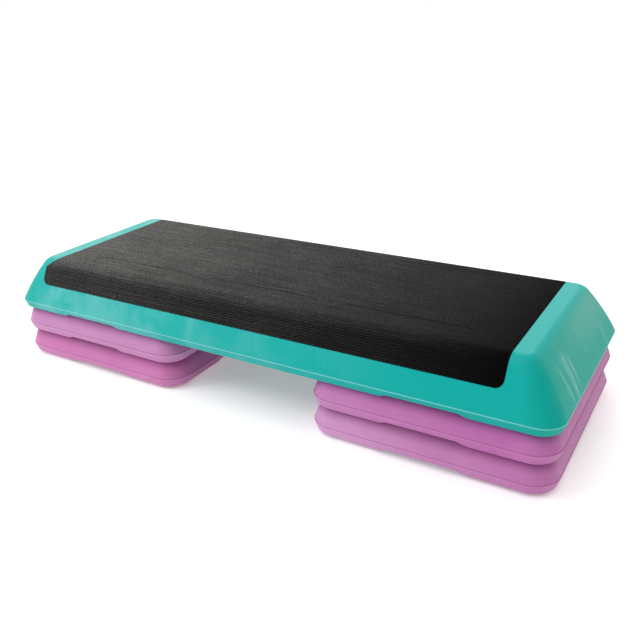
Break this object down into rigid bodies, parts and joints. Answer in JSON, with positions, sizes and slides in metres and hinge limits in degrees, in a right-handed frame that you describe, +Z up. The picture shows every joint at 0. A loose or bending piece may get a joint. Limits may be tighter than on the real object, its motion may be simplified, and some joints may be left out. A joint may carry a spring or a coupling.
{
  "type": "aerobic step platform",
  "caption": "Moulded step platform with a ribbed rubber mat over its deck, standing on stacked square risers at each end; the pieces nest and lift off.",
  "frame": {"origin": "middle of the object's footprint, on the floor under the lower risers' feet", "axes": "+X along the platform, +Y to the rear, +Z up"},
  "size_m": [1.092, 0.406, 0.201],
  "materials": {
    "teal_plastic": "satin moulded polyethylene, lightly scuffed",
    "pink_plastic": "satin moulded polyethylene",
    "mat_rubber": "matt ribbed rubber, dusty",
    "foot_rubber": "matt"
  },
  "bodies": {
    "floor_risers": {"riser_left_lower": "pink_plastic", "riser_left_lower_foot_front_outer": "foot_rubber", "riser_left_lower_foot_front_inner": "foot_rubber", "riser_left_lower_foot_rear_outer": "foot_rubber", "riser_left_lower_foot_rear_inner": "foot_rubber", "riser_right_lower": "pink_plastic", "riser_right_lower_foot_front_outer": "foot_rubber", "riser_right_lower_foot_front_inner": "foot_rubber", "riser_right_lower_foot_rear_outer": "foot_rubber", "riser_right_lower_foot_rear_inner": "foot_rubber"},
    "left_upper_riser": {"riser_left_upper": "pink_plastic", "riser_left_upper_foot_front_outer": "foot_rubber", "riser_left_upper_foot_front_inner": "foot_rubber", "riser_left_upper_foot_rear_outer": "foot_rubber", "riser_left_upper_foot_rear_inner": "foot_rubber"},
    "right_upper_riser": {"riser_right_upper": "pink_plastic", "riser_right_upper_foot_front_outer": "foot_rubber", "riser_right_upper_foot_front_inner": "foot_rubber", "riser_right_upper_foot_rear_outer": "foot_rubber", "riser_right_upper_foot_rear_inner": "foot_rubber"},
    "platform": {"platform_shell": "teal_plastic", "deck_mat": "mat_rubber", "platform_left_foot_front_outer": "foot_rubber", "platform_left_foot_front_inner": "foot_rubber", "platform_left_foot_rear_outer": "foot_rubber", "platform_left_foot_rear_inner": "foot_rubber", "platform_right_foot_front_outer": "foot_rubber", "platform_right_foot_front_inner": "foot_rubber", "platform_right_foot_rear_outer": "foot_rubber", "platform_right_foot_rear_inner": "foot_rubber"}
  },
  "joints": [
    {"name": "upper_riser_lift", "type": "slide", "parent": "floor_risers", "child": "left_upper_riser", "axis": [0, 0, 1], "range_m": [0, 0.12]},
    {"name": "right_riser_lift", "type": "slide", "parent": "floor_risers", "child": "right_upper_riser", "axis": [0, 0, 1], "range_m": [0, 0.12]},
    {"name": "platform_lift", "type": "slide", "parent": "left_upper_riser", "child": "platform", "axis": [0, 0, 1], "range_m": [0, 0.12]}
  ],
  "couplings": [
    {"joint": "right_riser_lift", "follows": "upper_riser_lift", "ratio": 1}
  ]
}
